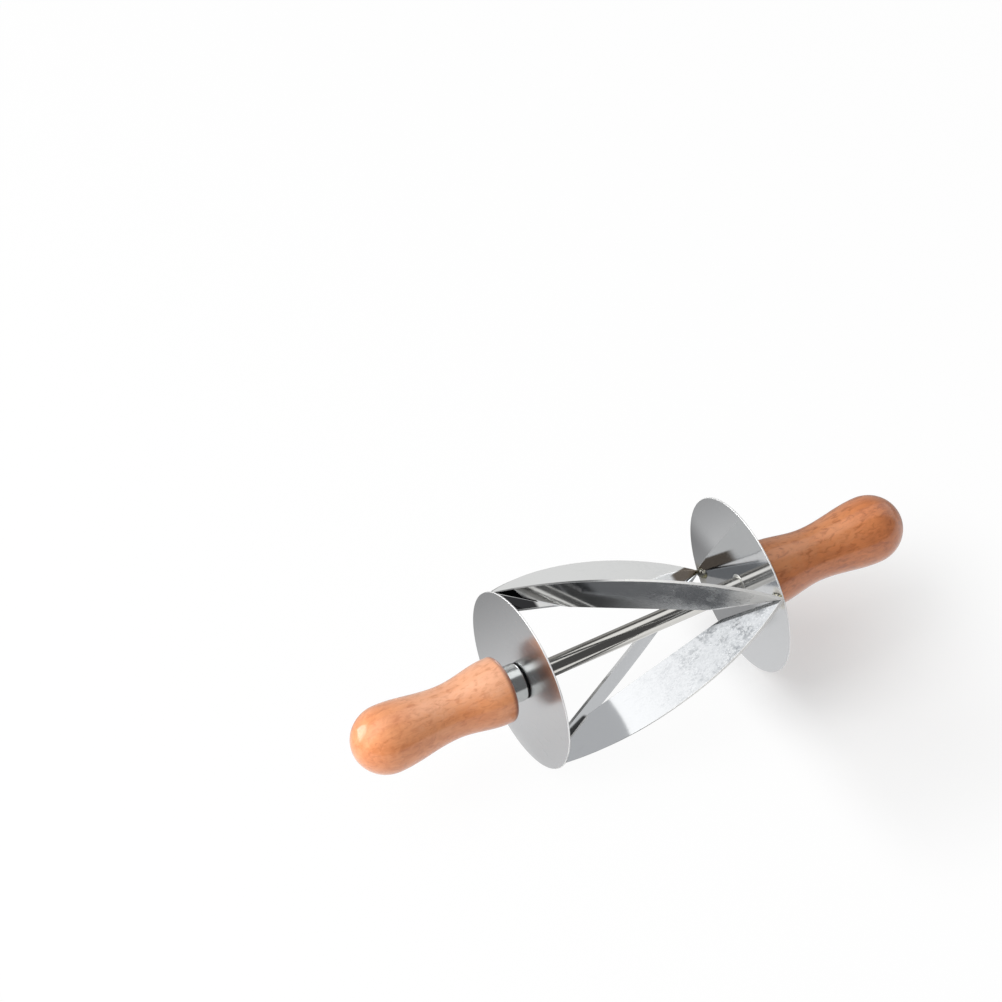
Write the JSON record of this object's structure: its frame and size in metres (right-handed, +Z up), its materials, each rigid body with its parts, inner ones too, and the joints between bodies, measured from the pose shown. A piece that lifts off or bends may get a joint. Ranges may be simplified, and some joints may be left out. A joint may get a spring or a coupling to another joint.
{
  "type": "croissant cutter roller",
  "caption": "Croissant cutter roller: slanting steel blades between end discs form a cage that spins on a rod with turned wooden handles and cuts rolled dough into triangles.",
  "frame": {"origin": "middle of the cage, on the rod's axis", "axes": "+X along the rod towards the right handle, +Y to the back, +Z up from the worktop it lies on"},
  "size_m": [0.288, 0.086, 0.086],
  "materials": {
    "left_wood": "clear lacquer, satin gloss",
    "right_wood": "clear lacquer, satin gloss",
    "insert_brass": "turned",
    "ferrule_chrome": "polished",
    "washer_plastic": "matt",
    "bush_steel": "turned",
    "rod_steel": "ground and polished",
    "disc_steel": "satin outside, polished inside",
    "blade_steel": "rolled sheet, half polished",
    "weld_steel": "heat-tinted"
  },
  "bodies": {
    "grip": {"axle_rod": "rod_steel", "left_handle": "left_wood", "right_handle": "right_wood", "left_handle_insert": "insert_brass", "right_handle_insert": "insert_brass", "left_ferrule": "ferrule_chrome", "right_ferrule": "ferrule_chrome", "left_thrust_washer": "washer_plastic", "right_thrust_washer": "washer_plastic"},
    "cage": {"left_hub_bush": "bush_steel", "left_disc": "disc_steel", "right_hub_bush": "bush_steel", "right_disc": "disc_steel", "upper_front_blade": "blade_steel", "upper_back_blade": "blade_steel", "lower_front_blade": "blade_steel", "lower_back_blade": "blade_steel", "left_top_weld": "weld_steel", "left_bottom_weld": "weld_steel", "right_front_weld": "weld_steel", "right_back_weld": "weld_steel"}
  },
  "joints": [
    {"name": "cage_spin", "type": "hinge", "parent": "grip", "child": "cage", "pos_m": [0, 0, 0], "axis": [1, 0, 0], "continuous": true}
  ]
}
